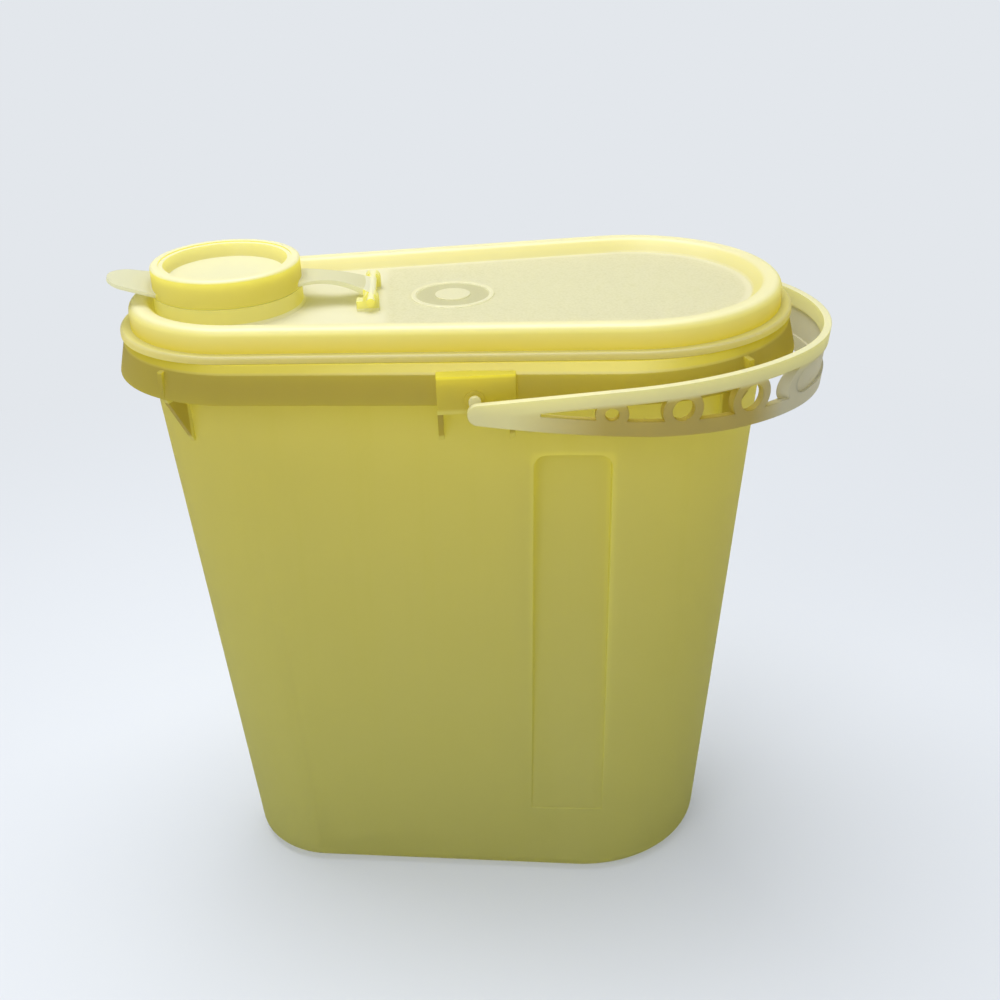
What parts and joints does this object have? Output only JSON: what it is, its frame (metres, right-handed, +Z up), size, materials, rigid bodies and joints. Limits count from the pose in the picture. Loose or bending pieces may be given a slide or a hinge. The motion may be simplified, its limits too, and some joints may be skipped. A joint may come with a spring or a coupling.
{
  "type": "pour container",
  "caption": "Tapered plastic pour container with a clip-on lid, a hinged pour cap on a strap and a swinging carry handle.",
  "frame": {"origin": "centre of the base, midway between the lid's two ends, on the plane that the container stands on", "axes": "+Z up, -X towards the pour spout, +Y across the width"},
  "size_m": [0.2468, 0.1324, 0.2335],
  "materials": {
    "container_plastic": "translucent moulded polyethylene, satin",
    "lid_plastic": "translucent moulded polyethylene, finely pebbled deck",
    "cap_plastic": "translucent moulded polyethylene, satin",
    "handle_plastic": "translucent moulded polyethylene, satin"
  },
  "bodies": {
    "container": {"container": "container_plastic"},
    "lid": {"lid": "lid_plastic"},
    "cap": {"pour_cap": "cap_plastic"},
    "handle": {"carry_handle": "handle_plastic"}
  },
  "joints": [
    {"name": "handle_swing", "type": "hinge", "parent": "container", "child": "handle", "pos_m": [0.0036, 0, 0.2014], "axis": [0, -1, 0], "range_deg": [-30, 145]},
    {"name": "lid_lift", "type": "slide", "parent": "container", "child": "lid", "axis": [0, 0, 1], "range_m": [0, 0.02]},
    {"name": "cap_flip", "type": "hinge", "parent": "lid", "child": "cap", "pos_m": [-0.0289, 0, 0.2211], "axis": [0, 1, 0], "range_deg": [0, 145]}
  ]
}
